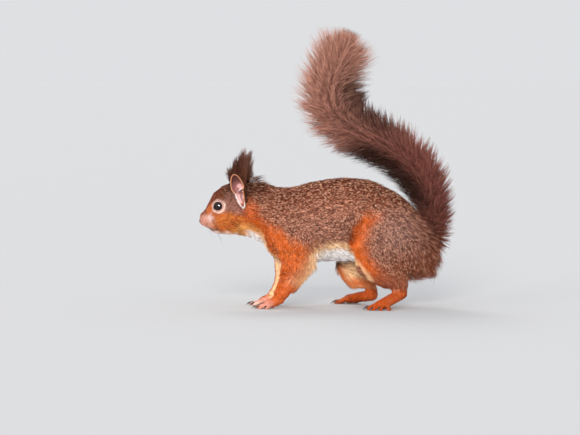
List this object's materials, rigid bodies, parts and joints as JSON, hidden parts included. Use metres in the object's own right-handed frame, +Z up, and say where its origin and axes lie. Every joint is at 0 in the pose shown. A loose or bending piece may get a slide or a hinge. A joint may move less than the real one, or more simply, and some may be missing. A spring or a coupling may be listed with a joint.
{
  "type": "red squirrel",
  "caption": "Still, life-size red squirrel standing on all fours with tufted ears and its bushy tail arched up over its back, for resting on a flat surface.",
  "frame": {"origin": "centre of the bounding box seen from above, on the ground that the feet stand on", "axes": "-X the way the squirrel faces, -Y its left side, +Z up"},
  "size_m": [0.2113, 0.1173, 0.2326],
  "materials": {
    "coat": "short dense grizzled brown fur",
    "coat_orange": "short dense orange-red fur",
    "feet": "very short orange fur over bare pinkish pads, dark claws",
    "ear_skin": "thin skin with very short hair",
    "tuft_hair": "long very dark brown hair",
    "tail_hair": "long loose dark maroon-brown hair",
    "eye": "wet gloss"
  },
  "bodies": {
    "root": {"chest": "coat", "ear_left": "ear_skin", "ear_right": "ear_skin", "ear_tuft_left": "tuft_hair", "ear_tuft_right": "tuft_hair", "eye_left": "eye", "eye_right": "eye", "forearm_left": "coat_orange", "forearm_right": "coat_orange", "forefoot_left": "feet", "forefoot_right": "feet", "head": "coat", "hindfoot_left": "feet", "hindfoot_right": "feet", "loins": "coat", "lower_leg_left": "coat_orange", "lower_leg_right": "coat_orange", "neck": "coat", "tail_lower": "tail_hair", "tail_middle": "tail_hair", "tail_root": "tail_hair", "tail_tip": "tail_hair", "tail_upper": "tail_hair", "thigh_left": "coat", "thigh_right": "coat", "upper_arm_left": "coat_orange", "upper_arm_right": "coat_orange"}
  },
  "joints": []
}
